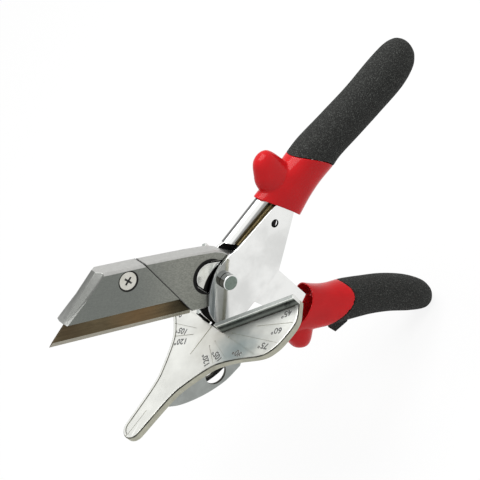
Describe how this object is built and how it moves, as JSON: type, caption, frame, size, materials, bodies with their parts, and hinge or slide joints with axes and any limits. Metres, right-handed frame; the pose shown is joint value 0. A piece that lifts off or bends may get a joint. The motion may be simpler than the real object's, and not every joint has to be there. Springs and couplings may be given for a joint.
{
  "type": "molding cutter",
  "caption": "Hand shear that cuts trim at an angle: a hinged blade closes on a fan-shaped table with an angle scale and two fences, worked by two gripped handles.",
  "frame": {"origin": "apex of the angle scale, on the flat face of the table", "axes": "+X from the table's nose back to the upper handle's end, +Z square out of the table's face towards the blade, +Y to the far side; the pivot axis runs along Y"},
  "size_m": [0.2636, 0.1034, 0.2044],
  "materials": {
    "polished_steel": "bright chromed steel plate",
    "satin_casting": "satin light-grey die casting with engraved scale",
    "grey_casting": "matte grey casting",
    "bronze_strip": "brown bronze, lightly polished",
    "tinted_blade": "brown-tinted blade steel with a bright bevel",
    "red_vinyl": "glossy red dipped vinyl",
    "black_foam": "matte black foam with a pebbled grain",
    "screw_steel": "plain bright fastener steel"
  },
  "bodies": {
    "anvil_arm": {"scale_table": "satin_casting", "near_cheek": "polished_steel", "far_cheek": "polished_steel", "handle_channel": "polished_steel", "near_slot_strip": "bronze_strip", "far_slot_strip": "bronze_strip", "upper_sleeve": "red_vinyl", "upper_grip": "black_foam", "pivot_bolt": "polished_steel", "pivot_washer": "polished_steel", "pivot_nut": "screw_steel", "table_rivet_1": "screw_steel", "table_rivet_2": "screw_steel", "table_rivet_3": "screw_steel"},
    "blade_arm": {"blade_carrier": "grey_casting", "blade_cover": "grey_casting", "blade": "tinted_blade", "clamp_plate": "polished_steel", "clamp_screw": "screw_steel", "clamp_nut": "screw_steel", "rear_blade_pin": "screw_steel", "front_blade_pin": "screw_steel", "lower_channel": "polished_steel", "lower_sleeve": "red_vinyl", "lower_grip": "black_foam", "tail_rivet_1": "screw_steel", "tail_rivet_2": "screw_steel", "pivot_bush": "bronze_strip"}
  },
  "joints": [
    {"name": "blade_hinge", "type": "hinge", "parent": "anvil_arm", "child": "blade_arm", "pos_m": [0.025, 0, 0.0176], "axis": [0, -1, 0], "range_deg": [0, 44], "stiffness_Nm_per_rad": 0.5, "springref_deg": -28.65}
  ]
}
